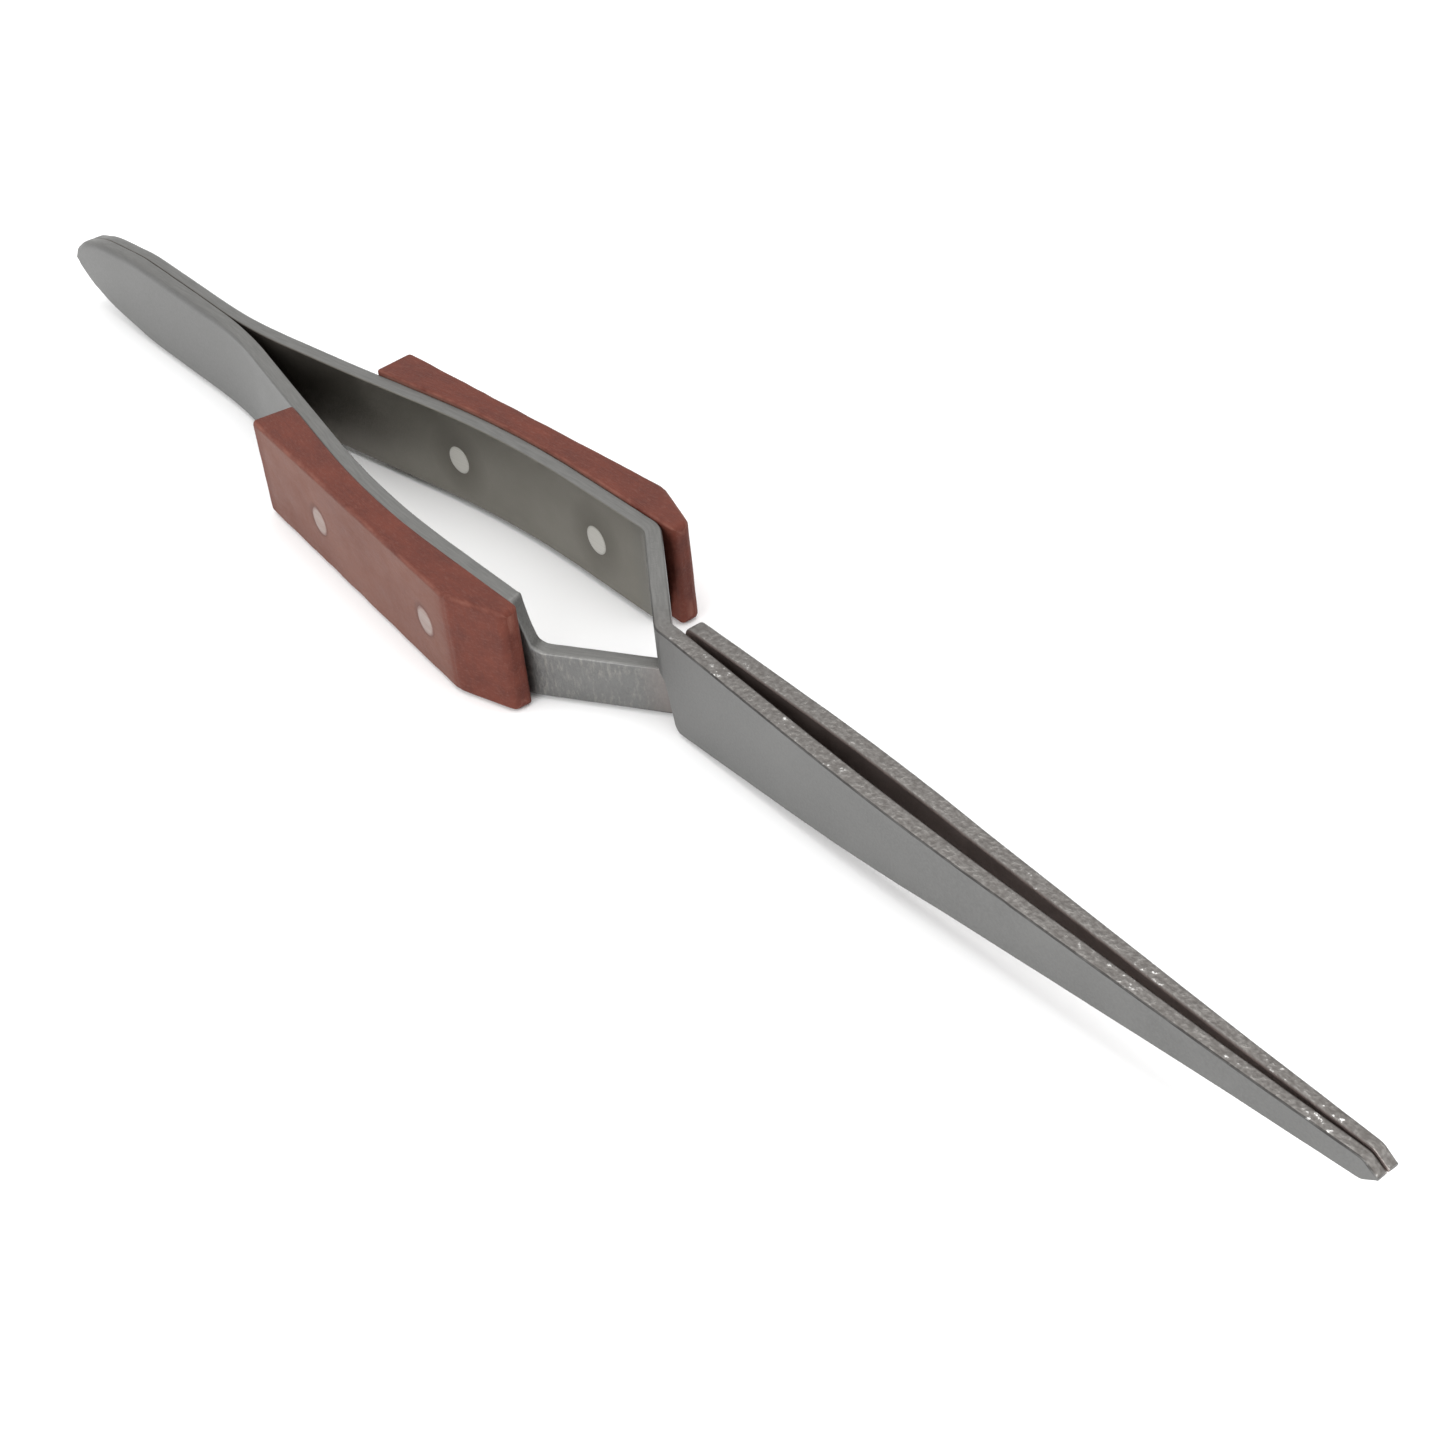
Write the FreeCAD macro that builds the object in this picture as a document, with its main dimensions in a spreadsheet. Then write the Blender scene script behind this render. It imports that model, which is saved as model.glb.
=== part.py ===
import FreeCAD, Part
import math
import os

import Sketcher

# Cross-locking tweezers with insulated finger grips, in millimetres.
#
# Two equal spring strips are welded flat together at the head. They swing apart, carry a grip
# each on their outer faces, are notched to half height where they bend inwards, cross there
# in a half lap, and end as the jaw of the opposite side. One side is the other turned half a
# turn about the long axis, so each side is built once in its own coordinates: X runs from the
# head to the tips, Y is away from the contact plane of the heads, Z is measured from mid-height.

DIMENSIONS = [
    ("overall_length", 165.0, "head end to tips"),
    ("strip_thickness", 1.4, "spring strip"),
    ("stock_height", 12.0, "height of the strip before its outline is cut"),
    ("root_y", 0.7, "centre line of a strip where the heads touch"),
    ("bend_out_x", 35.0, "where the strip turns outwards"),
    ("bend_out_radius", 57.0, "radius of that turn"),
    ("bend_back_x", 68.0, "where it turns parallel again"),
    ("bend_back_radius", 150.0, "radius of that turn"),
    ("side_y", 6.5, "centre line of the strip along the grip"),
    ("bend_in_x", 88.0, "where it turns inwards to cross"),
    ("bend_in_radius", 2.6, "radius of that turn"),
    ("jaw_root_x", 99.2, "where it turns into the jaw"),
    ("jaw_root_y", 0.87, "centre line of the jaw at its root"),
    ("jaw_root_radius", 1.6, "radius of that turn"),
    ("jaw_bow_x", 120.0, "widest place between the jaws"),
    ("jaw_bow_y", 1.42, "centre line of the jaw there"),
    ("jaw_bow_radius", 300.0, "radius of the jaw's bow"),
    ("jaw_end_y", 0.715, "centre line of the jaw past the tip"),
    ("path_end_x", 166.0, "end of the strip before its tip is cut"),
    ("head_end_height", 1.1, "half height at the head's end"),
    ("head_a_x", 2.2, "end of the head's blunt point"),
    ("head_a_height", 2.4, "half height there"),
    ("head_b_x", 6.2, "middle of the head's swelling"),
    ("head_b_height", 3.55, "half height there"),
    ("head_c_x", 14.5, "where the head reaches its full height"),
    ("head_height", 4.5, "greatest half height of the head"),
    ("head_rear_x", 25.0, "end of the head's full height"),
    ("shank_x", 48.0, "where the shank's even height begins"),
    ("shank_height", 4.2, "half height along the grip"),
    ("notch_start_x", 88.0, "start of the notch at the strip's edge"),
    ("notch_floor_x", 89.1, "where the notch reaches its floor"),
    ("neck_clearance", 0.2, "notch floor to mid-height"),
    ("jaw_back_top_x", 99.5, "back edge of the jaw at the notch floor"),
    ("jaw_back_x", 100.4, "back edge of the jaw at its corner"),
    ("jaw_height", 4.45, "half height at the jaw's root"),
    ("jaw_a_x", 118.0, "first change of the jaw's taper"),
    ("jaw_a_height", 3.4, "half height there"),
    ("jaw_b_x", 131.0, "second change of the jaw's taper"),
    ("jaw_b_height", 2.48, "half height there"),
    ("jaw_c_x", 152.0, "third change of the jaw's taper"),
    ("jaw_c_height", 1.36, "half height there"),
    ("tip_shoulder_x", 163.9, "where the tip's rounding begins"),
    ("tip_height", 0.92, "half height at the tip's shoulder"),
    ("tip_end_height", 0.32, "half height of the tip's end"),
    ("relief_x", 126.0, "where the jaw's outer face starts to thin"),
    ("relief_y", 2.03, "outer face there"),
    ("relief_end_y", 0.93, "outer face past the tip"),
    ("notch_radius", 0.8, "rounding in the notch and on the jaw's back corner"),
    ("flex_x", 40.0, "flexing place of the strip, X"),
    ("flex_y", 1.58, "flexing place of the strip, Y"),
    ("flex_slope", 9.97, "slope of the strip there, degrees"),
    ("flex_gap", 0.06, "break between tail and arm there"),
    ("split_reach", 60.0, "size of the blocks that part tail and arm"),
    ("grip_height", 4.6, "half height of a grip"),
    ("grip_rear_x", 50.7, "rear end of a grip at the strip"),
    ("grip_rear_y", 3.4, "inner corner at the rear, inside the strip"),
    ("grip_rear_top_x", 50.15, "rear end of a grip at its outer face"),
    ("grip_rear_top_y", 8.05, "outer face at the rear"),
    ("grip_inner_x", 68.0, "inner edge, inside the strip"),
    ("grip_inner_y", 6.2, "inner edge, inside the strip"),
    ("grip_seat_x", 84.0, "where the inner edge steps to the strip's face"),
    ("grip_seat_y", 7.2, "outer face of the strip, and inner face of the overhang"),
    ("grip_crest_x", 84.2, "start of the front bevel"),
    ("grip_crest_y", 10.6, "outer face at the front bevel"),
    ("grip_front_x", 89.7, "front end of a grip"),
    ("grip_front_y", 8.85, "outer face at the front end"),
    ("grip_corner_radius", 0.9, "rounding of the outer corners"),
    ("grip_edge_radius", 0.35, "rounding of the outer face's edges"),
    ("rivet_radius", 1.35, "grip rivets"),
    ("rivet_reach", 16.0, "length of a rivet before it is cut flush"),
    ("rivet_rear_x", 62.0, "rear rivet on the strip's centre line, X"),
    ("rivet_rear_y", 5.31, "rear rivet on the strip's centre line, Y"),
    ("rivet_front_x", 80.6, "front rivet on the strip's centre line, X"),
    ("rivet_front_y", 6.5, "front rivet on the strip's centre line, Y"),
    ("rivet_tilt", 4.3, "slope of the grip's outer face, degrees"),
    ("weld_radius", 1.6, "spot welds of the head"),
    ("weld_depth", 1.2, "thickness of a spot weld's nugget"),
    ("weld_rear_x", 12.0, "rear spot weld"),
    ("weld_front_x", 22.0, "front spot weld"),
]


class Size:
    """A number together with the spreadsheet expression that gives it."""

    def __init__(self, value, text):
        self.value = float(value)
        self.text = text

    def __neg__(self):
        return Size(-self.value, f"-({self.text})")

    def __add__(self, other):
        return Size(self.value + other.value, f"({self.text} + {other.text})")

    def __sub__(self, other):
        return Size(self.value - other.value, f"({self.text} - {other.text})")

    def __mul__(self, factor):
        return Size(self.value * factor, f"({self.text} * {factor})")


def make_sheet(document):
    sheet = document.addObject("Spreadsheet::Sheet", "Dims")
    sizes = {}
    for row, (alias, value, note) in enumerate(DIMENSIONS, start=1):
        sheet.set(f"A{row}", alias)
        sheet.set(f"B{row}", str(value))
        sheet.setAlias(f"B{row}", alias)
        sheet.set(f"C{row}", note)
        sizes[alias] = Size(value, f"Dims.{alias}")
    document.recompute()
    return sizes


os.makedirs("parts", exist_ok=True)
doc = FreeCAD.newDocument("Tweezers")
dim = make_sheet(doc)
ZERO = Size(0, "0")


# ---------------------------------------------------------------- sketch helpers

def new_sketch(body, name, role):
    """A sketch on one of the body's own origin planes."""
    sketch = body.newObject("Sketcher::SketchObject", name)
    plane = [item for item in body.Origin.OriginFeatures if item.Role == role][0]
    sketch.AttachmentSupport = [(plane, "")]
    sketch.MapMode = "FlatFace"
    return sketch


def pin(sketch, geometry, vertex, corner):
    """Tie a vertex to the sheet: corner is a pair of Sizes, measured from the origin."""
    for kind, axis, size in (("DistanceX", -2, corner[0]), ("DistanceY", -1, corner[1])):
        if size.value == 0:
            sketch.addConstraint(Sketcher.Constraint("PointOnObject", geometry, vertex, axis))
        else:
            rule = Sketcher.Constraint(kind, -1, 1, geometry, vertex, size.value)
            number = sketch.addConstraint(rule)
            sketch.setExpression(f"Constraints[{number}]", size.text)


def to_vector(corner):
    return FreeCAD.Vector(corner[0].value, corner[1].value, 0)


def closed_outline(sketch, corners):
    """A closed polygon whose corners are tied to the sheet."""
    first = sketch.GeometryCount
    count = len(corners)
    for index in range(count):
        start = to_vector(corners[index])
        end = to_vector(corners[(index + 1) % count])
        sketch.addGeometry(Part.LineSegment(start, end), False)
    for index in range(count):
        following = first + (index + 1) % count
        sketch.addConstraint(Sketcher.Constraint("Coincident", first + index, 2, following, 1))
    for index in range(count):
        pin(sketch, first + index, 1, corners[index])


def vertex_at(sketch, geometry, place):
    """Which end of an arc, 1 or 2, lies at a place."""
    near = sketch.getPoint(geometry, 1).distanceToPoint(place)
    far = sketch.getPoint(geometry, 2).distanceToPoint(place)
    return 1 if near < far else 2


def bent_path(sketch, corners, radii):
    """Straight runs through the corners, joined by tangent arcs with the given radii."""
    places = [to_vector(corner) for corner in corners]
    ends = [places[0]]
    middles = []
    for before, corner, after, radius in zip(places, places[1:], places[2:], radii):
        back = (before - corner).normalize()
        ahead = (after - corner).normalize()
        half_turn = (math.pi - back.getAngle(ahead)) / 2
        reach = radius.value * math.tan(half_turn)
        inwards = (back + ahead).normalize()
        middles.append(corner + inwards * (radius.value / math.cos(half_turn) - radius.value))
        ends += [corner + back * reach, corner + ahead * reach]
    ends.append(places[-1])
    runs = []
    for start, end in zip(ends[0::2], ends[1::2]):
        runs.append(sketch.addGeometry(Part.LineSegment(start, end), False))
    for index, (middle, radius) in enumerate(zip(middles, radii)):
        start = ends[2 * index + 1]
        end = ends[2 * index + 2]
        arc = sketch.addGeometry(Part.Arc(start, middle, end), False)
        for run, run_vertex, place in ((runs[index], 2, start), (runs[index + 1], 1, end)):
            arc_vertex = vertex_at(sketch, arc, place)
            sketch.addConstraint(Sketcher.Constraint("Tangent", run, run_vertex, arc, arc_vertex))
        number = sketch.addConstraint(Sketcher.Constraint("Radius", arc, radius.value))
        sketch.setExpression(f"Constraints[{number}]", radius.text)
        mark = sketch.addGeometry(Part.Point(places[index + 1]), True)
        pin(sketch, mark, 1, corners[index + 1])
        for run in (runs[index], runs[index + 1]):
            sketch.addConstraint(Sketcher.Constraint("PointOnObject", mark, 1, run))
    pin(sketch, runs[0], 1, corners[0])
    pin(sketch, runs[-1], 2, corners[-1])


# ---------------------------------------------------------------- feature helpers

NEAR = 0.05  # how close an edge lies to the place that names it
LEAST_CUT = 5.0  # the least volume that a pocket has to take away, in cubic millimetres


def edges_at(shape, direction, places):
    """Names of the edges along a direction whose middle lies at one of the places."""
    names = []
    for number, edge in enumerate(shape.Edges, start=1):
        span = edge.Vertexes[-1].Point - edge.Vertexes[0].Point
        if span.Length < 1e-6 or abs(span.normalize().dot(direction)) < 0.999:
            continue
        middle = edge.valueAt((edge.FirstParameter + edge.LastParameter) / 2)
        middle = middle - direction * middle.dot(direction)
        if any(middle.distanceToPoint(place) < NEAR for place in places):
            names.append(f"Edge{number}")
    return names


def round_edges(body, base, names, radius, label):
    fillet = body.newObject("PartDesign::Fillet", label)
    fillet.Base = (base, names)
    fillet.setExpression("Radius", radius.text)
    doc.recompute()
    return fillet


def boolean(kind, name, base, tool):
    result = doc.addObject(kind, name)
    result.Base = base
    result.Tool = tool
    return result


def join(name, shapes):
    result = doc.addObject("Part::MultiFuse", name)
    result.Shapes = shapes
    return result


# ---------------------------------------------------------------- spring strip

def strip_blank(side):
    """The whole spring strip of one side, from the head to the tip of its jaw."""
    body = doc.addObject("PartDesign::Body", f"{side}_strip_blank")

    path = new_sketch(body, f"{side}_strip_path", "XY_Plane")
    bent_path(
        path,
        [
            (ZERO, dim["root_y"]),
            (dim["bend_out_x"], dim["root_y"]),
            (dim["bend_back_x"], dim["side_y"]),
            (dim["bend_in_x"], dim["side_y"]),
            (dim["jaw_root_x"], -dim["jaw_root_y"]),
            (dim["jaw_bow_x"], -dim["jaw_bow_y"]),
            (dim["path_end_x"], -dim["jaw_end_y"]),
        ],
        [
            dim["bend_out_radius"],
            dim["bend_back_radius"],
            dim["bend_in_radius"],
            dim["jaw_root_radius"],
            dim["jaw_bow_radius"],
        ],
    )

    section = new_sketch(body, f"{side}_strip_section", "YZ_Plane")
    inner = dim["root_y"] - dim["strip_thickness"] * 0.5
    outer = dim["root_y"] + dim["strip_thickness"] * 0.5
    half_stock = dim["stock_height"] * 0.5
    closed_outline(
        section,
        [(inner, -half_stock), (outer, -half_stock), (outer, half_stock), (inner, half_stock)],
    )

    sweep = body.newObject("PartDesign::AdditivePipe", f"{side}_strip_sweep")
    sweep.Profile = section
    sweep.Spine = path
    doc.recompute()
    swept_volume = sweep.Shape.Volume

    outline = new_sketch(body, f"{side}_strip_outline", "XZ_Plane")
    end = dim["overall_length"]
    upper_edge = [
        (ZERO, dim["head_end_height"]),
        (dim["head_a_x"], dim["head_a_height"]),
        (dim["head_b_x"], dim["head_b_height"]),
        (dim["head_c_x"], dim["head_height"]),
        (dim["head_rear_x"], dim["head_height"]),
        (dim["shank_x"], dim["shank_height"]),
        (dim["jaw_back_x"], dim["jaw_height"]),
        (dim["jaw_a_x"], dim["jaw_a_height"]),
        (dim["jaw_b_x"], dim["jaw_b_height"]),
        (dim["jaw_c_x"], dim["jaw_c_height"]),
        (dim["tip_shoulder_x"], dim["tip_height"]),
        (end, dim["tip_end_height"]),
    ]
    notch = [
        (dim["jaw_back_x"], -dim["jaw_height"]),
        (dim["jaw_back_top_x"], dim["neck_clearance"]),
        (dim["notch_floor_x"], dim["neck_clearance"]),
        (dim["notch_start_x"], -dim["shank_height"]),
    ]
    lower_jaw = [(x, -height) for x, height in reversed(upper_edge[7:])]
    lower_shank = [(x, -height) for x, height in reversed(upper_edge[:6])]
    closed_outline(outline, upper_edge + lower_jaw + notch + lower_shank)
    beyond = dim["path_end_x"] + dim["stock_height"]
    closed_outline(
        outline,
        [
            (-dim["stock_height"], -dim["stock_height"]),
            (beyond, -dim["stock_height"]),
            (beyond, dim["stock_height"]),
            (-dim["stock_height"], dim["stock_height"]),
        ],
    )
    trim = body.newObject("PartDesign::Pocket", f"{side}_strip_trim")
    trim.Profile = outline
    trim.Type = "ThroughAll"
    trim.Midplane = True
    doc.recompute()
    if trim.Shape.Volume > swept_volume - LEAST_CUT:
        raise RuntimeError("the outline cut nothing from the strip")

    relief = new_sketch(body, f"{side}_jaw_relief", "XY_Plane")
    closed_outline(
        relief,
        [
            (dim["relief_x"], -dim["relief_y"]),
            (dim["relief_x"], -half_stock),
            (dim["path_end_x"], -half_stock),
            (dim["path_end_x"], -dim["relief_end_y"]),
        ],
    )
    thinned = body.newObject("PartDesign::Pocket", f"{side}_jaw_thinning")
    thinned.Profile = relief
    thinned.Type = "ThroughAll"
    thinned.Midplane = True
    doc.recompute()
    if thinned.Shape.Volume > trim.Shape.Volume - LEAST_CUT:
        raise RuntimeError("the jaw was not thinned")

    corners = [FreeCAD.Vector(x.value, 0, z.value) for x, z in notch[:3]]
    names = edges_at(thinned.Shape, FreeCAD.Vector(0, 1, 0), corners)
    round_edges(body, thinned, names, dim["notch_radius"], f"{side}_strip_corners")
    return body


# ---------------------------------------------------------------- grip

def grip_blank(side):
    """The grip of one side before the strip and the rivets are cut out of it."""
    body = doc.addObject("PartDesign::Body", f"{side}_grip_blank")
    plan = new_sketch(body, f"{side}_grip_plan", "XY_Plane")
    rear_top = (dim["grip_rear_top_x"], dim["grip_rear_top_y"])
    crest = (dim["grip_crest_x"], dim["grip_crest_y"])
    front_top = (dim["grip_front_x"], dim["grip_front_y"])
    closed_outline(
        plan,
        [
            (dim["grip_rear_x"], dim["grip_rear_y"]),
            (dim["grip_inner_x"], dim["grip_inner_y"]),
            (dim["grip_seat_x"], dim["grip_inner_y"]),
            (dim["grip_seat_x"], dim["grip_seat_y"]),
            (dim["grip_front_x"], dim["grip_seat_y"]),
            front_top,
            crest,
            rear_top,
        ],
    )
    pad = body.newObject("PartDesign::Pad", f"{side}_grip_pad")
    pad.Profile = plan
    pad.setExpression("Length", (dim["grip_height"] * 2).text)
    pad.Midplane = True
    doc.recompute()

    corners = [to_vector(corner) for corner in (rear_top, crest, front_top)]
    upright = edges_at(pad.Shape, FreeCAD.Vector(0, 0, 1), corners)
    rounded = round_edges(body, pad, upright, dim["grip_corner_radius"], f"{side}_grip_corners")

    names = []
    face_start = dim["grip_rear_top_y"].value + dim["grip_edge_radius"].value
    for number, edge in enumerate(rounded.Shape.Edges, start=1):
        middle = edge.valueAt((edge.FirstParameter + edge.LastParameter) / 2)
        flat = abs(abs(middle.z) - dim["grip_height"].value) < 1e-3
        if flat and middle.y > face_start:
            names.append(f"Edge{number}")
    round_edges(body, rounded, names, dim["grip_edge_radius"], f"{side}_grip_edges")
    return body


# ---------------------------------------------------------------- one side of the tweezers

def rivet_blank(side, position):
    """A cylinder across strip and grip, square to the grip's outer face."""
    tilt = math.radians(dim["rivet_tilt"].value)
    direction = FreeCAD.Vector(-math.sin(tilt), math.cos(tilt), 0)
    centre = to_vector((dim[f"rivet_{position}_x"], dim[f"rivet_{position}_y"]))
    blank = doc.addObject("Part::Cylinder", f"{side}_rivet_{position}_blank")
    blank.setExpression("Radius", dim["rivet_radius"].text)
    blank.setExpression("Height", dim["rivet_reach"].text)
    start = centre - direction * (dim["rivet_reach"].value / 2)
    turn = FreeCAD.Rotation(FreeCAD.Vector(0, 0, 1), direction)
    blank.Placement = FreeCAD.Placement(start, turn)
    return blank


def split_block(side, name, extra):
    """A block behind the flexing place; extra moves its front face along the strip."""
    reach = dim["split_reach"]
    slope = dim["flex_slope"].value
    block = doc.addObject("Part::Box", f"{side}_{name}")
    block.setExpression("Length", (reach + extra).text)
    block.setExpression("Width", reach.text)
    block.setExpression("Height", reach.text)
    turn = FreeCAD.Rotation(FreeCAD.Vector(0, 0, 1), slope)
    corner = turn.multVec(FreeCAD.Vector(-reach.value, -reach.value / 2, -reach.value / 2))
    hinge = to_vector((dim["flex_x"], dim["flex_y"]))
    block.Placement = FreeCAD.Placement(hinge + corner, turn)
    return block


def weld_blank(name, position):
    """A spot weld's nugget, across the contact plane of the two heads."""
    nugget = doc.addObject("Part::Cylinder", name)
    nugget.setExpression("Radius", dim["weld_radius"].text)
    nugget.setExpression("Height", dim["weld_depth"].text)
    start = FreeCAD.Vector(dim[f"weld_{position}_x"].value, dim["weld_depth"].value / 2, 0)
    turn = FreeCAD.Rotation(FreeCAD.Vector(1, 0, 0), 90)
    nugget.Placement = FreeCAD.Placement(start, turn)
    return nugget


def make_side(side):
    """Tail, arm, grip and rivets of one side, in the side's own coordinates."""
    strip = strip_blank(side)
    grip = grip_blank(side)
    half_gap = dim["flex_gap"] * 0.5
    behind = split_block(side, "tail_block", -half_gap)
    ahead = split_block(side, "arm_block", half_gap)
    welds = join(
        f"{side}_weld_cuts",
        [weld_blank(f"{side}_weld_{position}_cut", position) for position in ("rear", "front")],
    )
    blanks = {position: rivet_blank(side, position) for position in ("rear", "front")}
    holes = join(f"{side}_rivet_holes", list(blanks.values()))

    tail_whole = boolean("Part::Cut", f"{side}_tail_whole", strip, welds)
    arm_whole = boolean("Part::Cut", f"{side}_arm_whole", strip, ahead)
    grip_whole = boolean("Part::Cut", f"{side}_grip_whole", grip, strip)
    both = join(f"{side}_strip_and_grip", [strip, grip])

    made = {
        f"{side}_tail": boolean("Part::Common", f"{side}_tail", tail_whole, behind),
        f"{side}_arm_strip": boolean("Part::Cut", f"{side}_arm_strip", arm_whole, holes),
        f"{side}_grip": boolean("Part::Cut", f"{side}_grip", grip_whole, holes),
    }
    for position, blank in blanks.items():
        name = f"{side}_rivet_{position}"
        made[name] = boolean("Part::Common", name, both, blank)
    doc.recompute()
    return made


# ---------------------------------------------------------------- assembly

# The tweezers stand on the lower edges of the grips, with their length centred on the origin.
half_length = dim["overall_length"].value / 2
middle_height = dim["grip_height"].value
left_place = FreeCAD.Placement(
    FreeCAD.Vector(-half_length, 0, middle_height),
    FreeCAD.Rotation(),
)
right_place = FreeCAD.Placement(
    FreeCAD.Vector(-half_length, 0, middle_height),
    FreeCAD.Rotation(FreeCAD.Vector(1, 0, 0), 180),
)

nodes = {}
for side, place in (("left", left_place), ("right", right_place)):
    for name, item in make_side(side).items():
        item.Placement = place
        nodes[name] = item
for position in ("rear", "front"):
    name = f"weld_{position}"
    nugget = weld_blank(name, position)
    nugget.Placement = left_place.multiply(nugget.Placement)
    nodes[name] = nugget
for name, item in nodes.items():
    item.Label = name
doc.recompute()

for item in doc.Objects:
    if "Invalid" in item.State or "Error" in item.State:
        raise RuntimeError(f"{item.Name} did not compute: {item.State}")
for name, item in nodes.items():
    shape = item.Shape
    if shape.isNull() or not shape.isValid() or len(shape.Solids) != 1:
        raise RuntimeError(f"{name} is not one valid solid")
    box = shape.BoundBox
    print(
        f"{name:18s} volume {shape.Volume:8.2f}"
        f"  x {box.XMin:7.2f} {box.XMax:7.2f}"
        f"  y {box.YMin:7.2f} {box.YMax:7.2f}"
        f"  z {box.ZMin:6.2f} {box.ZMax:6.2f}"
    )
    shape.exportStep(f"parts/{name}.step")
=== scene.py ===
import math

import bmesh
import bpy
from mathutils import Matrix, Vector, noise


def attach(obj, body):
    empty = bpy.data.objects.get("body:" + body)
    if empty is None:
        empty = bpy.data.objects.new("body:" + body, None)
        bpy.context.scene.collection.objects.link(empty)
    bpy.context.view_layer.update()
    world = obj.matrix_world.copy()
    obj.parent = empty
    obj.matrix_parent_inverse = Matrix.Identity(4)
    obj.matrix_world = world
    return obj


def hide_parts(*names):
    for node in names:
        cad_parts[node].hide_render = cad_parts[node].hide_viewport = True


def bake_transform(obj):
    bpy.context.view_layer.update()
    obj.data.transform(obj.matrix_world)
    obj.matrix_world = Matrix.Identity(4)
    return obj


# Cross-locking tweezers. The shapes below are worked out in the same side coordinates as the CAD:
# millimetres, x from the head to the tips, y away from the contact plane, z from mid-height.
# One side is the other turned half a turn about the long axis. Radii are one per inner corner.

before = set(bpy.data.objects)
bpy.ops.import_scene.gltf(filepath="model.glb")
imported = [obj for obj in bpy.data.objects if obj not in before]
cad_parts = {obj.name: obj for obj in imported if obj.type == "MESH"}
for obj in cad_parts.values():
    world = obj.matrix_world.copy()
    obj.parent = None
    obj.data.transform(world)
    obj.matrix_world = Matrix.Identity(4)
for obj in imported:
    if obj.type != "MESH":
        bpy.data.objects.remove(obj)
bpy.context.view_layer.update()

LENGTH = 165.0
MIDDLE_Z = 4.6
THICKNESS = 1.4
SIDES = {"left": 1, "right": -1}
SKIN_DEPTH = 0.02  # how far a drawn surface stays inside the CAD outline

# The strip: its centre line in plan, then its upper and lower edges as height above mid-height.
PLAN = [(0, 0.7), (35, 0.7), (68, 6.5), (88, 6.5), (99.2, -0.87), (120, -1.42), (166, -0.715)]
PLAN_RADII = [57, 150, 2.6, 1.6, 300]

HEAD_EDGE = [(0, 0.4), (0.25, 1.15), (2.2, 2.4), (6.2, 3.55), (14.5, 4.5), (25, 4.5), (48, 4.2)]
HEAD_RADII = [0.6, 9, 20, 30, 80, 80]
JAW_EDGE = [(118, 3.4), (131, 2.48), (152, 1.36), (163.9, 0.92), (165, 0.15)]
JAW_RADII = [80, 80, 80, 0.9]
UPPER_EDGE = HEAD_EDGE + [(100.4, 4.45)] + JAW_EDGE
UPPER_RADII = HEAD_RADII + [8] + JAW_RADII
NOTCH = [(88.0, 4.2), (89.1, -0.2), (99.5, -0.2), (100.4, 4.45)]
LOWER_EDGE = HEAD_EDGE + NOTCH + JAW_EDGE
LOWER_RADII = HEAD_RADII + [0.25, 0.9, 0.9, 0.8] + JAW_RADII
THINNING_X = 126.0
THINNING_SLOPE = 0.0135  # thickness lost on the outer face, per millimetre of jaw
EDGE_RADIUS = 0.2
HEAD_ROUNDING = 0.75  # added to the edge radius on the outer face of the head
HEAD_ROUNDING_X = 22.0
HEAD_ROUNDING_FADE = 16.0
EDGE_WANDER = 0.035

# The grips and the rivets.
GRIP_HEIGHT = 4.6
GRIP_LENGTH = 39.5
GRIP_END_RADIUS = 0.5
CREST_SHARE = 0.86
CREST_BLEND = 0.012
GRIP_DENT = 0.06
GRIP_REAR = ((50.7, 4.15), (50.15, 8.05))
GRIP_CREST = (84.2, 10.6)
GRIP_FRONT = ((89.7, 7.2), (89.7, 8.85))
GRIP_OVERHANG_X = 86.5  # past this the strip bends away under the grip
RIVETS = [(62.0, 5.31), (80.6, 6.5)]
RIVET_RADIUS = 1.35
RIVET_TILT = math.radians(4.3)


# ---------------------------------------------------------------- plane curves

def rounded_chain(points, radii, steps=12):
    """A polyline with an arc of the given radius at each inner corner."""
    corners = [Vector(point) for point in points]
    chain = [corners[0]]
    for before, corner, after, radius in zip(corners, corners[1:], corners[2:], radii):
        back = (before - corner).normalized()
        ahead = (after - corner).normalized()
        half_turn = (math.pi - back.angle(ahead)) / 2
        longest = 0.48 * min((before - corner).length, (after - corner).length)
        reach = min(radius * math.tan(half_turn), longest)
        start = corner + back * reach
        end = corner + ahead * reach
        centre = corner + (back + ahead).normalized() * (reach / math.sin(half_turn))
        swing = (start - centre).angle_signed(end - centre)
        for step in range(steps + 1):
            turn = Matrix.Rotation(-swing * step / steps, 2)
            chain.append(centre + turn @ (start - centre))
    chain.append(corners[-1])
    return chain


def height_at(chain, x):
    """Height of an x-monotone chain."""
    for start, end in zip(chain, chain[1:]):
        if x <= end.x:
            share = (x - start.x) / max(end.x - start.x, 1e-9)
            return start.y + (end.y - start.y) * max(share, 0)
    return chain[-1].y


def slope_at(chain, x, step=0.05):
    return (height_at(chain, x + step) - height_at(chain, x - step)) / (2 * step)


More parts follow.
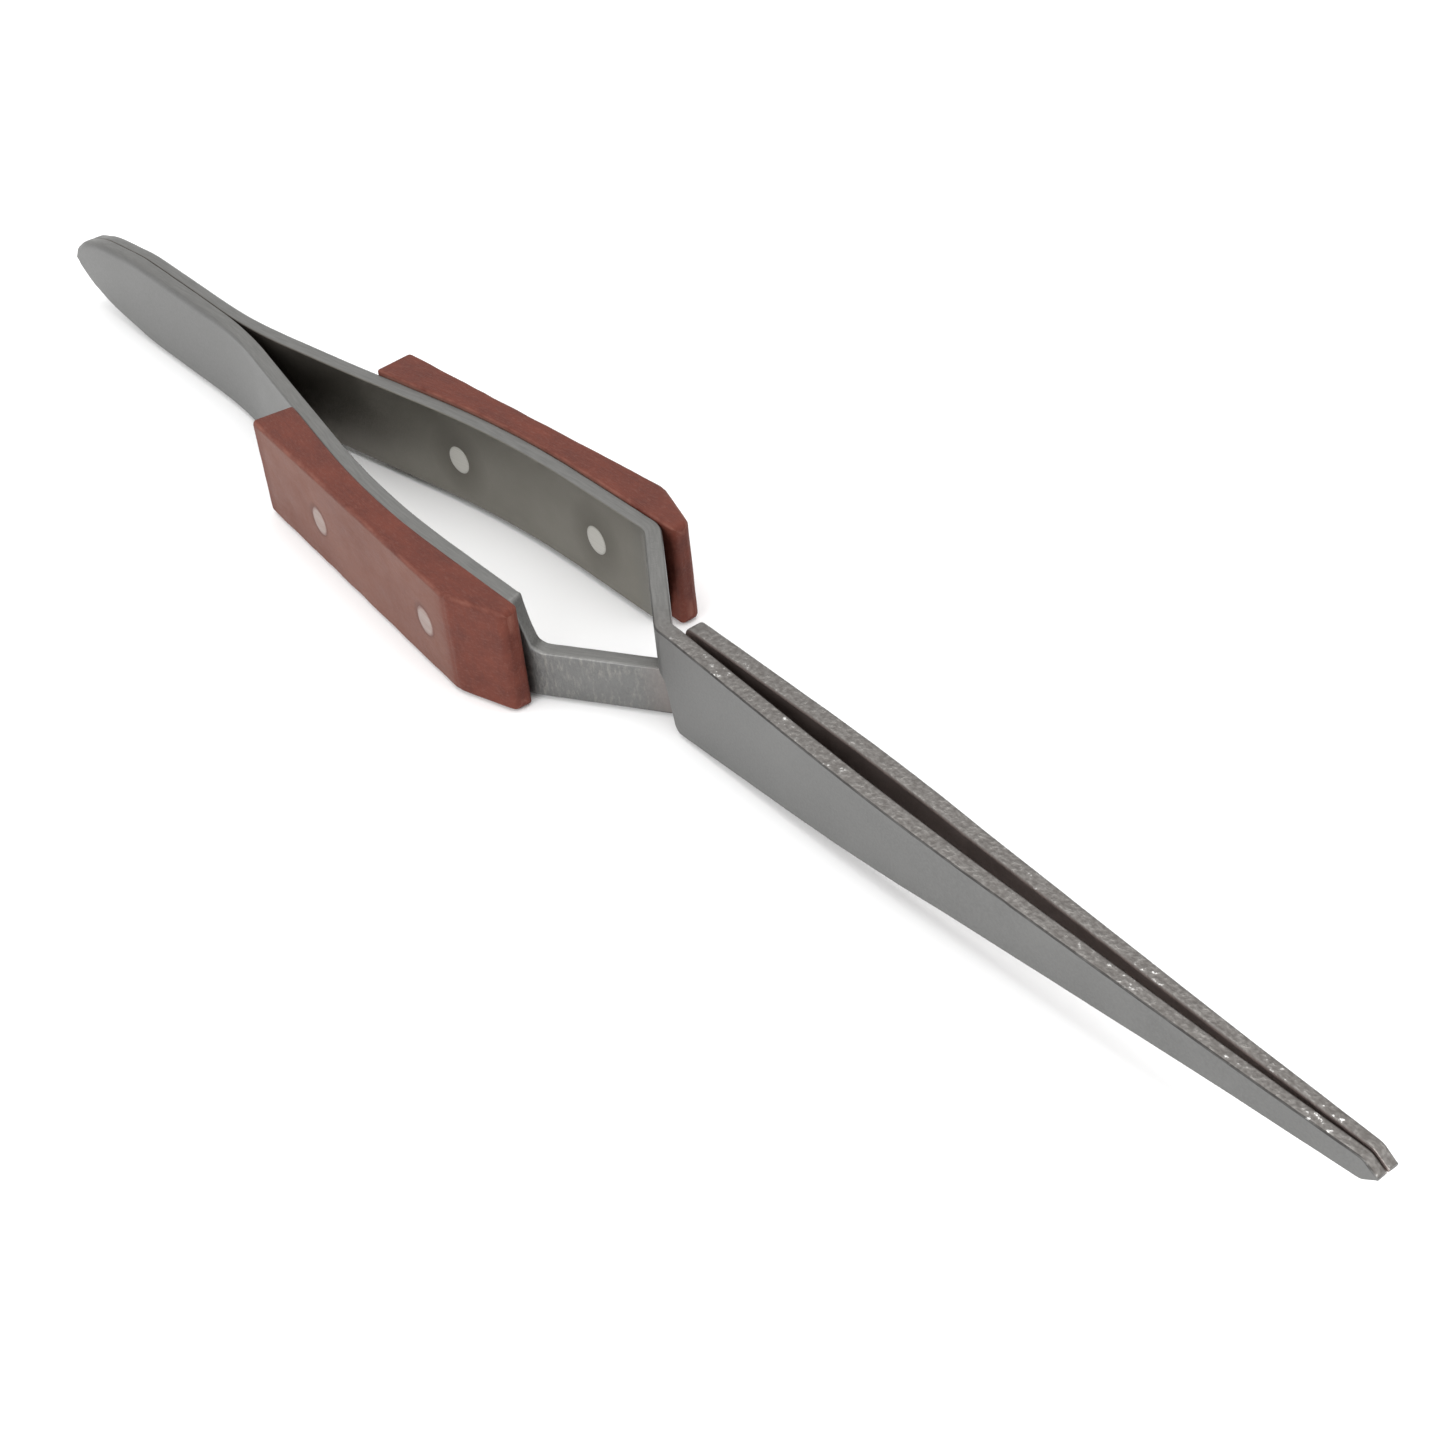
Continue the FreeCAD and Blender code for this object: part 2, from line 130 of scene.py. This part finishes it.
class Route:
    """A plan curve by its arc length, with the normal away from the contact plane."""

    def __init__(self, chain):
        self.chain = chain
        self.marks = [0.0]
        for start, end in zip(chain, chain[1:]):
            self.marks.append(self.marks[-1] + (end - start).length)

    def at(self, distance):
        index = 0
        while index < len(self.chain) - 2 and self.marks[index + 1] < distance:
            index += 1
        start, end = self.chain[index], self.chain[index + 1]
        run = end - start
        share = (distance - self.marks[index]) / max(self.marks[index + 1] - self.marks[index], 1e-9)
        return start + run * share

    def frame(self, distance):
        ahead = (self.at(distance + 0.02) - self.at(distance - 0.02)).normalized()
        return self.at(distance), Vector((-ahead.y, ahead.x))

    def distance_at(self, x):
        for start, end, mark in zip(self.chain, self.chain[1:], self.marks):
            if x <= end.x:
                return mark + (end - start).length * (x - start.x) / max(end.x - start.x, 1e-9)
        return self.marks[-1]


ROUTE = Route(rounded_chain(PLAN, PLAN_RADII, 24))
UPPER = rounded_chain(UPPER_EDGE, UPPER_RADII)
LOWER = rounded_chain(LOWER_EDGE, LOWER_RADII)


# ---------------------------------------------------------------- meshes

def ring_shape(near, far, low, high, radii, stretch, rows):
    """A rounded rectangle: (across, height, rim) with rim 1 on the narrow upper and lower faces.

    It spans near to far across the strip and low to high. radii are the roundings on the near
    and the far side, and stretch makes them taller at the lower and the upper edge.
    """
    near_flat, far_flat = (min(radius, 0.49 * (far - near)) for radius in radii)
    room = 0.47 * (high - low)
    corners = [
        (near + near_flat, near_flat, low, 1, math.pi, stretch[0]),
        (far - far_flat, far_flat, low, 1, 1.5 * math.pi, stretch[0]),
        (far - far_flat, far_flat, high, -1, 0.0, stretch[1]),
        (near + near_flat, near_flat, high, -1, 0.5 * math.pi, stretch[1]),
    ]
    arcs = []
    for across, flat, edge, inwards, start, taller in corners:
        tall = min(flat * taller, room)
        arc = []
        for step in range(7):
            angle = start + step * math.pi / 12
            place = (across + flat * math.cos(angle), edge + tall * (inwards + math.sin(angle)))
            arc.append((*place, abs(math.sin(angle))))
        arcs.append(arc)
    shape = []
    for number, arc in enumerate(arcs):
        shape += arc
        following = arcs[(number + 1) % 4]
        on_rim = number % 2 == 0
        count = 3 if on_rim else rows
        for step in range(1, count + 1):
            place = Vector(arc[-1][:2]).lerp(Vector(following[0][:2]), step / (count + 1))
            shape.append((place.x, place.y, 1.0 if on_rim else 0.0))
    return shape


def to_row(point, side):
    """Side coordinates in millimetres to row coordinates in metres."""
    turn = SIDES[side]
    return Vector((point.x - LENGTH / 2, turn * point.y, MIDDLE_Z + turn * point.z)) / 1000


def skin(name, rings, side, along):
    """A closed mesh through rings of (point, across, rim).

    For shading each vertex keeps "rest", its distance along, across and up in millimetres, and
    "rim", which is 1 on the narrow upper and lower faces, and at the rim of a rivet's end.
    """
    mesh = bpy.data.meshes.new(name)
    count = len(rings[0])
    points = [to_row(point, side) for ring in rings for point, across, rim in ring]
    faces = []
    for row in range(len(rings) - 1):
        for column in range(count):
            after = (column + 1) % count
            faces.append(
                (
                    row * count + column,
                    row * count + after,
                    (row + 1) * count + after,
                    (row + 1) * count + column,
                )
            )
    faces.append(tuple(reversed(range(count))))
    faces.append(tuple(range((len(rings) - 1) * count, len(rings) * count)))
    mesh.from_pydata(points, [], faces)
    mesh.attributes.new("rest", "FLOAT_VECTOR", "POINT")
    mesh.attributes.new("rim", "FLOAT", "POINT")
    rest = mesh.attributes["rest"]
    rim = mesh.attributes["rim"]
    number = 0
    for ring, distance in zip(rings, along):
        for point, across, rim_value in ring:
            rest.data[number].vector = (distance, across, point.z)
            rim.data[number].value = rim_value
            number += 1
    build = bmesh.new()
    build.from_mesh(mesh)
    bmesh.ops.recalc_face_normals(build, faces=build.faces)
    build.to_mesh(mesh)
    build.free()
    for face in mesh.polygons:
        face.use_smooth = True
    piece = bpy.data.objects.new(name, mesh)
    bpy.context.scene.collection.objects.link(piece)
    weighted = piece.modifiers.new("even_normals", "WEIGHTED_NORMAL")
    weighted.weight = 80
    return piece


def stations():
    """Arc lengths of the strip's rings, close together where its outline turns."""
    spans = [(0, 1.2, 0.1), (1.2, 12, 0.4), (12, 86, 0.9), (86, 90.6, 0.1), (90.6, 98, 0.5)]
    spans += [(98, 99.4, 0.1), (99.4, 100.9, 0.035), (100.9, 163.4, 0.8), (163.4, 164.99, 0.06)]
    places = []
    for start, end, step in spans:
        count = max(1, round((end - start) / step))
        places += [start + (end - start) * number / count for number in range(count)]
    places.append(164.99)
    return [ROUTE.distance_at(x) for x in places]


def edge_wander(distance, row):
    """The slight unevenness a hand-ground edge has."""
    return EDGE_WANDER * noise.noise(Vector((distance * 0.45, row * 7.3, 1.7)))


def strip(side):
    """One spring strip, from the head to the tip of its jaw."""
    rings = []
    along = []
    for distance in stations():
        centre, normal = ROUTE.frame(distance)
        high = height_at(UPPER, centre.x)
        low = -height_at(LOWER, centre.x)
        slopes = (slope_at(LOWER, centre.x), slope_at(UPPER, centre.x))
        stretch = [min(math.hypot(1, slope), 4.0) for slope in slopes]
        high -= SKIN_DEPTH + abs(edge_wander(distance, 1))
        low += SKIN_DEPTH + abs(edge_wander(distance, 2))
        thinned = max(0.0, THINNING_SLOPE * (centre.x - THINNING_X))
        past_head = min(max((centre.x - HEAD_ROUNDING_X) / HEAD_ROUNDING_FADE, 0), 1)
        radii = (0.8 * EDGE_RADIUS, EDGE_RADIUS + HEAD_ROUNDING * (1 - past_head))
        ring = []
        for across, height, rim in ring_shape(thinned, THICKNESS, low, high, radii, stretch, 7):
            place = centre + normal * (across - THICKNESS / 2)
            ring.append((Vector((place.x, place.y, height)), across, rim))
        rings.append(ring)
        along.append(distance)
    piece = skin(f"{side}_spring_strip", rings, side, along)
    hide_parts(f"{side}_tail", f"{side}_arm_strip")
    return piece


def grip_edges(share):
    """Inner and outer plan points of a grip at a share of its length."""
    clearance = 0.01
    rear_x, front_x = GRIP_REAR[0][0], GRIP_FRONT[0][0]
    start = ROUTE.distance_at(rear_x + 0.12)
    inner_x = rear_x + (front_x - rear_x) * share
    if inner_x < GRIP_OVERHANG_X:
        centre, normal = ROUTE.frame(max(ROUTE.distance_at(inner_x), start))
        inner = centre + normal * (THICKNESS / 2 + clearance)
    else:
        inner = Vector((inner_x, GRIP_FRONT[0][1] + clearance))
    rear, crest, front = Vector(GRIP_REAR[1]), Vector(GRIP_CREST), Vector(GRIP_FRONT[1])
    if share < CREST_SHARE:
        return inner, rear.lerp(crest, share / CREST_SHARE)
    return inner, crest.lerp(front, (share - CREST_SHARE) / (1 - CREST_SHARE))


def grip_rows():
    """(share of the length, how far the outline draws in) for each ring of a grip."""
    rounding = []
    for step in range(6):
        turn = math.pi / 2 * step / 5
        back = GRIP_END_RADIUS * (1 - math.sin(turn))
        shrink = GRIP_END_RADIUS * (1 - math.cos(turn))
        rounding.append((back / GRIP_LENGTH, shrink))
    end = GRIP_END_RADIUS / GRIP_LENGTH
    middle = [end + (1 - 2 * end) * number / 56 for number in range(1, 56)]
    middle += [CREST_SHARE + offset for offset in (-0.012, -0.007, -0.003, 0.0, 0.003, 0.007, 0.012)]
    rows = sorted(rounding) + [(share, 0.0) for share in sorted(middle)]
    return rows + sorted((1 - share, shrink) for share, shrink in rounding)


def grip(side):
    """A riveted grip: a flat-sided block with softened edges and worn corners."""
    rings = []
    along = []
    for share, shrink in grip_rows():
        inner, outer = grip_edges(share)
        from_crest = abs(share - CREST_SHARE) / CREST_BLEND
        if from_crest < 1:
            outer.y -= 0.09 * (1 - from_crest) ** 2
        across = outer - inner
        unit = across.normalized()
        high = GRIP_HEIGHT - shrink - SKIN_DEPTH
        ring = []
        radii = (max(0.3 - shrink, 0.04), max(0.45 - shrink, 0.04))
        shape = ring_shape(shrink, across.length - shrink, -high, high, radii, (1.0, 1.0), 9)
        for offset, height, rim in shape:
            place = inner + unit * offset
            dent = abs(GRIP_DENT * noise.noise(Vector((place.x * 0.35, place.y * 0.5, height * 0.5))))
            place = place - unit * (dent if offset > 0.5 * across.length else 0)
            height -= math.copysign(dent * 0.5, height)
            ring.append((Vector((place.x, place.y, height)), offset, rim))
        rings.append(ring)
        along.append(GRIP_REAR[0][0] + GRIP_LENGTH * share)
    piece = skin(f"{side}_fibre_grip", rings, side, along)
    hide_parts(f"{side}_grip")
    return piece


def rivet(side, number):
    """A flush rivet: a shank whose two ends follow the faces they are filed level with."""
    x, y = RIVETS[number]
    axis = Vector((-math.sin(RIVET_TILT), math.cos(RIVET_TILT), 0))
    lateral = Vector((math.cos(RIVET_TILT), math.sin(RIVET_TILT), 0))
    centre, normal = ROUTE.frame(ROUTE.distance_at(x))
    inner_face = centre - normal * (THICKNESS / 2)
    rear, crest = Vector(GRIP_REAR[1]), Vector(GRIP_CREST)
    outer_ahead = (crest - rear).normalized()
    outer_normal = Vector((-outer_ahead.y, outer_ahead.x))
    ends = [
        (inner_face.to_3d(), -normal.to_3d(), (0.06, 0.05, 0.035, 0.0, -0.12)),
        (rear.to_3d(), outer_normal.to_3d(), (0.05, 0.045, 0.03, 0.0, -0.12)),
    ]
    shares = (0.02, 0.4, 0.8, 0.94, 1.0)
    profiles = []
    for outer, (face_point, face_normal, lifts) in enumerate(ends):
        profile = [(outer, share, face_point, face_normal, lift) for share, lift in zip(shares, lifts)]
        profiles.append(profile)
    rows = profiles[0] + list(reversed(profiles[1]))
    base = Vector((x, y, 0))
    rings = []
    along = []
    for outer, share, face_point, face_normal, lift in rows:
        ring = []
        for step in range(48):
            angle = 2 * math.pi * step / 48
            radius = RIVET_RADIUS * share
            spot = base + lateral * radius * math.cos(angle) + Vector((0, 0, radius * math.sin(angle)))
            travel = (lift - (spot - face_point).dot(face_normal)) / axis.dot(face_normal)
            ring.append((spot + axis * travel, float(outer), share))
        rings.append(ring)
        along.append(x)
    piece = skin(f"{side}_rivet_{number + 1}", rings, side, along)
    place = ("rear", "front")[number]
    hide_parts(f"{side}_rivet_{place}")
    return piece


# ---------------------------------------------------------------- materials

class Nodes:
    """Short calls for building a material's node tree."""

    def __init__(self, name):
        self.material = bpy.data.materials.new(name)
        self.material.use_nodes = True
        self.tree = self.material.node_tree
        self.shader = self.tree.nodes["Principled BSDF"]

    def add(self, kind, **settings):
        node = self.tree.nodes.new(kind)
        for key, value in settings.items():
            setattr(node, key, value)
        return node

    def link(self, source, target):
        self.tree.links.new(source, target)

    def rest(self, scale):
        attribute = self.add("ShaderNodeAttribute", attribute_name="rest")
        mapping = self.add("ShaderNodeMapping")
        mapping.inputs["Scale"].default_value = scale
        self.link(attribute.outputs["Vector"], mapping.inputs["Vector"])
        return mapping.outputs["Vector"]

    def rest_parts(self):
        """Distance along the strip, across it and up, each on its own."""
        attribute = self.add("ShaderNodeAttribute", attribute_name="rest")
        parts = self.add("ShaderNodeSeparateXYZ")
        self.link(attribute.outputs["Vector"], parts.inputs["Vector"])
        return parts.outputs["X"], parts.outputs["Y"], parts.outputs["Z"]

    def band(self, value, start, full, last, end):
        """1 between full and last, falling to 0 at start and end."""
        return self.math("MULTIPLY", self.range(value, start, full), self.range(value, end, last))

    def rim(self):
        return self.add("ShaderNodeAttribute", attribute_name="rim").outputs["Fac"]

    def noise(self, scale, stretch=(1, 1, 1), detail=4.0, rough=0.6):
        node = self.add("ShaderNodeTexNoise")
        node.inputs["Scale"].default_value = scale
        node.inputs["Detail"].default_value = detail
        node.inputs["Roughness"].default_value = rough
        self.link(self.rest(stretch), node.inputs["Vector"])
        return node.outputs["Fac"]

    def range(self, value, low, high, out_low=0.0, out_high=1.0):
        node = self.add("ShaderNodeMapRange", clamp=True)
        self.link(value, node.inputs["Value"])
        names = ("From Min", "From Max", "To Min", "To Max")
        for name, number in zip(names, (low, high, out_low, out_high)):
            node.inputs[name].default_value = number
        return node.outputs["Result"]

    def math(self, operation, first, second):
        node = self.add("ShaderNodeMath", operation=operation)
        for socket, value in zip(node.inputs, (first, second)):
            if isinstance(value, (int, float)):
                socket.default_value = value
            else:
                self.link(value, socket)
        return node.outputs["Value"]

    def mix(self, factor, first, second):
        node = self.add("ShaderNodeMix", data_type="RGBA")
        self.link(factor, node.inputs["Factor"])
        for name, value in (("A", first), ("B", second)):
            socket = [item for item in node.inputs if item.name == name and item.type == "RGBA"][0]
            if isinstance(value, tuple):
                socket.default_value = (*value, 1)
            else:
                self.link(value, socket)
        return [item for item in node.outputs if item.type == "RGBA"][0]

    def near_rivets(self, inner, outer, plain_x=False):
        """1 close to a rivet's axis, falling to 0 at the outer radius."""
        attribute = self.add("ShaderNodeAttribute", attribute_name="rest")
        flat = self.add("ShaderNodeVectorMath", operation="MULTIPLY")
        flat.inputs[1].default_value = (1, 0, 1)
        self.link(attribute.outputs["Vector"], flat.inputs[0])
        nearest = None
        for x, y in RIVETS:
            gap = self.add("ShaderNodeVectorMath", operation="DISTANCE")
            gap.inputs[1].default_value = (x if plain_x else ROUTE.distance_at(x), 0, 0)
            self.link(flat.outputs["Vector"], gap.inputs[0])
            value = gap.outputs["Value"]
            nearest = value if nearest is None else self.math("MINIMUM", nearest, value)
        return self.range(nearest, inner, outer, 1.0, 0.0)

    def bump(self, height, strength, distance, under=None):
        node = self.add("ShaderNodeBump")
        node.inputs["Strength"].default_value = strength
        node.inputs["Distance"].default_value = distance
        self.link(height, node.inputs["Height"])
        if under is not None:
            self.link(under, node.inputs["Normal"])
        return node.outputs["Normal"]


def steel_material():
    """Bead-blasted spring steel: satin faces, and jaws with ground edges that glitter, partly through
    glints painted into the colour. Shade is painted on between the arms near the head, round the rivets,
    between the jaws and along the jaws' upper bevel, and a painted reflection tints the inner face
    brown.
    """
    made = Nodes("blasted_spring_steel")
    rim = made.rim()
    along, across, up = made.rest_parts()
    jaw = made.range(along, 98, 104)
    cloud = made.noise(0.16, (1, 1, 1.5), 3.0)
    grain = made.noise(4.5, (1, 1, 1), 3.0, 0.7)
    streak = made.noise(1.0, (0.5, 6, 6), 4.0)
    fleck = made.noise(2.6, (1, 1, 1), 2.0, 0.5)
    cluster = made.noise(0.22, (1, 1, 1), 2.0)
    scratch = made.noise(1.6, (2.2, 1, 0.7), 4.0, 0.7)

    face = made.mix(made.range(cloud, 0.3, 0.7), (0.15, 0.15, 0.147), (0.19, 0.19, 0.186))
    face = made.mix(made.range(grain, 0.35, 0.75, 0.0, 0.4), face, (0.235, 0.235, 0.23))
    neck = made.band(along, 87, 90, 98, 101)
    marks = made.math("MULTIPLY", neck, made.range(scratch, 0.5, 0.7, 0.0, 0.55))
    face = made.mix(marks, face, (0.31, 0.30, 0.275))

    # Inner face towards the other arm, from the head to the neck: a warm brown tint painted on, standing
    # in for the brown grips seen reflected in it.
    inside = made.math("MULTIPLY", made.range(across, 0.3, 0.05), made.range(along, 92, 86))
    face = made.mix(made.math("MULTIPLY", inside, 0.75), face, (0.245, 0.23, 0.195))
    # Painted shade: the inner face darkens towards the head, where the arms close on each other.
    head_gap_shade = made.math("MULTIPLY", inside, made.range(along, 56, 36, 0.0, 0.6))
    face = made.mix(head_gap_shade, face, (0.09, 0.07, 0.064))
    # Painted shade: a dark ring on the inner face round each rivet, standing in for the shading of metal
    # dished by riveting.
    rivet_dimple_shade = made.math("MULTIPLY", made.near_rivets(1.5, 3.8), 0.45)
    face = made.mix(made.math("MULTIPLY", rivet_dimple_shade, inside), face, (0.10, 0.09, 0.075))
    # Painted shade: a brown tint on the sides the jaws close on, standing in for the shaded slit between
    # them; it stays when the jaws open.
    between = made.math("MULTIPLY", made.range(across, 1.1, 1.35), jaw)
    face = made.mix(made.math("MULTIPLY", between, 0.75), face, (0.3, 0.235, 0.215))

    edge = made.mix(made.range(streak, 0.3, 0.7), (0.165, 0.165, 0.158), (0.215, 0.212, 0.204))
    worn = made.mix(made.range(fleck, 0.35, 0.65), (0.14, 0.13, 0.122), (0.2, 0.19, 0.18))
    edge = made.mix(jaw, edge, worn)
    # Painted glints: sparse near-white flecks put into the colour of the jaws' ground edges.
    glint = made.math("MULTIPLY", made.range(fleck, 0.62, 0.7), made.range(cluster, 0.54, 0.64))
    glint = made.math("MULTIPLY", glint, jaw)
    edge = made.mix(glint, edge, (0.9, 0.89, 0.87))
    colour = made.mix(made.range(rim, 0.5, 0.95), face, edge)

    # Painted shade: a dark line along the rounded corners of the jaws' upper edge, as the strip is
    # drawn, standing in for the shading of the bevel.
    border = made.math("MULTIPLY", made.band(rim, 0.12, 0.3, 0.9, 0.99), made.range(up, 0.0, 0.5))
    bevel_shade = made.math("MULTIPLY", border, made.range(along, 96, 100))
    fading = made.math("MULTIPLY", bevel_shade, made.range(streak, 0.3, 0.6, 0.3, 0.8))
    colour = made.mix(fading, colour, (0.04, 0.037, 0.036))
    made.link(colour, made.shader.inputs["Base Color"])

    face_rough = made.range(cloud, 0.3, 0.7, 0.42, 0.55)
    edge_rough = made.range(fleck, 0.5, 0.7, 0.45, 0.25)
    share = made.math("MULTIPLY", made.range(rim, 0.5, 0.95), jaw)
    swing = made.math("MULTIPLY", share, made.math("SUBTRACT", edge_rough, face_rough))
    made.link(made.math("ADD", face_rough, swing), made.shader.inputs["Roughness"])
    made.shader.inputs["Metallic"].default_value = 1.0

    fine = made.bump(grain, 0.2, 0.00006)
    scored = made.bump(made.math("MULTIPLY", neck, scratch), 0.3, 0.00015, fine)
    coarse = made.math("MULTIPLY", share, fleck)
    made.link(made.bump(coarse, 0.35, 0.0002, scored), made.shader.inputs["Normal"])
    return made.material


def fibre_material():
    """Vulcanised fibre: red-brown cut faces in thin layers, and a paler skin outside."""
    made = Nodes("vulcanised_fibre")
    along = made.rest_parts()[0]
    cloud = made.noise(0.13, (1, 1, 1.6), 4.0)
    layers = made.noise(0.9, (0.18, 5.0, 0.6), 5.0, 0.65)
    mottle = made.noise(0.55, (0.6, 1, 1), 4.0)
    fibre = made.noise(5.0, (0.35, 1, 1), 3.0, 0.7)
    rim = made.rim()

    skin_tone = made.mix(made.range(cloud, 0.3, 0.7), (0.13, 0.056, 0.042), (0.158, 0.074, 0.056))
    cut = made.mix(made.range(mottle, 0.3, 0.7), (0.08, 0.018, 0.011), (0.125, 0.033, 0.021))
    cut = made.mix(made.range(layers, 0.5, 0.72, 0.0, 0.4), cut, (0.07, 0.02, 0.015))
    outside = made.math("MULTIPLY", made.range(rim, 0.5, 0.08), made.band(along, 50.9, 52.4, 83.2, 85.2))
    outside = made.math("MULTIPLY", outside, made.range(mottle, 0.2, 0.5, 0.75, 1.0))
    base = made.mix(outside, cut, skin_tone)
    base = made.mix(made.range(fibre, 0.5, 0.8, 0.0, 0.28), base, (0.22, 0.1, 0.077))
    corner = made.band(rim, 0.15, 0.6, 0.75, 0.98)
    worn = made.math("MULTIPLY", corner, made.range(mottle, 0.35, 0.65, 0.0, 0.45))
    base = made.mix(worn, base, (0.22, 0.095, 0.07))
    ring = made.math("MULTIPLY", made.near_rivets(1.4, 1.7, plain_x=True), 0.4)
    base = made.mix(ring, base, (0.07, 0.03, 0.024))
    made.link(base, made.shader.inputs["Base Color"])
    made.link(made.range(mottle, 0.3, 0.7, 0.52, 0.7), made.shader.inputs["Roughness"])
    made.shader.inputs["Specular IOR Level"].default_value = 0.2

    soft = made.bump(layers, 0.3, 0.0002)
    made.link(made.bump(fibre, 0.3, 0.0001, soft), made.shader.inputs["Normal"])
    return made.material


def rivet_material():
    """Filed nickel-silver rivets: bright inner ends, and outer ends smeared with fibre."""
    made = Nodes("filed_rivet")
    scratch = made.noise(3.0, (0.5, 1, 4), 4.0)
    cloud = made.noise(0.9, (1, 1, 1), 3.0)
    outer = made.rest_parts()[1]
    bright = made.mix(made.range(scratch, 0.3, 0.7), (0.42, 0.41, 0.38), (0.56, 0.55, 0.51))
    bright = made.mix(made.range(made.rim(), 0.8, 1.0, 0.0, 0.7), bright, (0.2, 0.19, 0.17))
    rubbed = made.mix(made.range(scratch, 0.3, 0.7), (0.25, 0.19, 0.17), (0.33, 0.275, 0.25))
    rubbed = made.mix(made.range(cloud, 0.4, 0.75, 0.0, 0.6), rubbed, (0.26, 0.16, 0.135))
    rubbed = made.mix(made.range(made.rim(), 0.72, 0.92), rubbed, (0.155, 0.075, 0.06))
    base = made.mix(outer, bright, rubbed)
    made.link(base, made.shader.inputs["Base Color"])
    made.link(made.range(cloud, 0.3, 0.7, 0.38, 0.55), made.shader.inputs["Roughness"])
    made.shader.inputs["Metallic"].default_value = 0.5
    made.link(made.bump(scratch, 0.25, 0.00006), made.shader.inputs["Normal"])
    return made.material


# ---------------------------------------------------------------- the tweezers

steel = steel_material()
fibre = fibre_material()
rivet_metal = rivet_material()

for side in SIDES:
    arm = f"{side}_arm"
    blade = strip(side)
    blade.data.materials.append(steel)
    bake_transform(blade)

    handle = grip(side)
    handle.data.materials.append(fibre)
    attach(handle, arm)
    for number in range(2):
        pin = rivet(side, number)
        pin.data.materials.append(rivet_metal)
        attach(pin, arm)

for name in ("weld_rear", "weld_front"):
    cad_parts[name].data.materials.clear()
    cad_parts[name].data.materials.append(steel)


# ---------------------------------------------------------------- floor, light and camera

def make_floor():
    mesh = bpy.data.meshes.new("floor")
    reach = 2.5
    level = -0.0001
    corners = [(-reach, -reach, level), (reach, -reach, level)]
    corners += [(reach, reach, level), (-reach, reach, level)]
    mesh.from_pydata(corners, [], [(0, 1, 2, 3)])
    floor = bpy.data.objects.new("floor", mesh)
    bpy.context.scene.collection.objects.link(floor)
    material = bpy.data.materials.new("pale_floor")
    material.use_nodes = True
    shader = material.node_tree.nodes["Principled BSDF"]
    shader.inputs["Base Color"].default_value = (0.93, 0.93, 0.93, 1)
    shader.inputs["Roughness"].default_value = 0.9
    shader.inputs["Specular IOR Level"].default_value = 0.1
    mesh.materials.append(material)


def make_light(name, place, size, energy):
    data = bpy.data.lights.new(name, "AREA")
    data.shape = "DISK"
    data.size = size
    data.energy = energy
    light = bpy.data.objects.new(name, data)
    bpy.context.scene.collection.objects.link(light)
    light.location = place
    light.rotation_mode = "QUATERNION"
    light.rotation_quaternion = (-Vector(place)).to_track_quat("-Z", "Y")


def make_camera():
    azimuth, elevation, roll = (math.radians(angle) for angle in (55.686, 37.624, -6.116))
    back = Vector((math.sin(azimuth) * math.cos(elevation),
                   -math.cos(azimuth) * math.cos(elevation),
                   math.sin(elevation)))
    level = Vector((math.cos(azimuth), math.sin(azimuth), 0))
    rise = back.cross(level)
    right = level * math.cos(roll) + rise * math.sin(roll)
    up = rise * math.cos(roll) - level * math.sin(roll)
    target = Vector((-0.00257, 0.01658, -0.02026))
    distance = 0.210359
    data = bpy.data.cameras.new("camera")
    data.lens = 58.97
    data.sensor_width = 36
    data.clip_start = 0.005
    camera = bpy.data.objects.new("camera", data)
    bpy.context.scene.collection.objects.link(camera)
    turn = Matrix((right, up, back)).transposed().to_4x4()
    camera.matrix_world = Matrix.Translation(target + back * distance) @ turn
    bpy.context.scene.camera = camera


make_floor()
make_light("key", (0.25, -0.55, 0.35), 0.5, 2.8)
make_light("fill", (0.5, 0.25, 0.45), 0.6, 1.0)
make_light("top", (-0.1, 0.1, 0.8), 0.9, 3.0)
make_camera()

world = bpy.data.worlds.new("studio")
world.use_nodes = True
world.node_tree.nodes["Background"].inputs["Color"].default_value = (1, 1, 1, 1)
world.node_tree.nodes["Background"].inputs["Strength"].default_value = 0.95
bpy.context.scene.world = world
bpy.context.scene.view_settings.view_transform = "Standard"
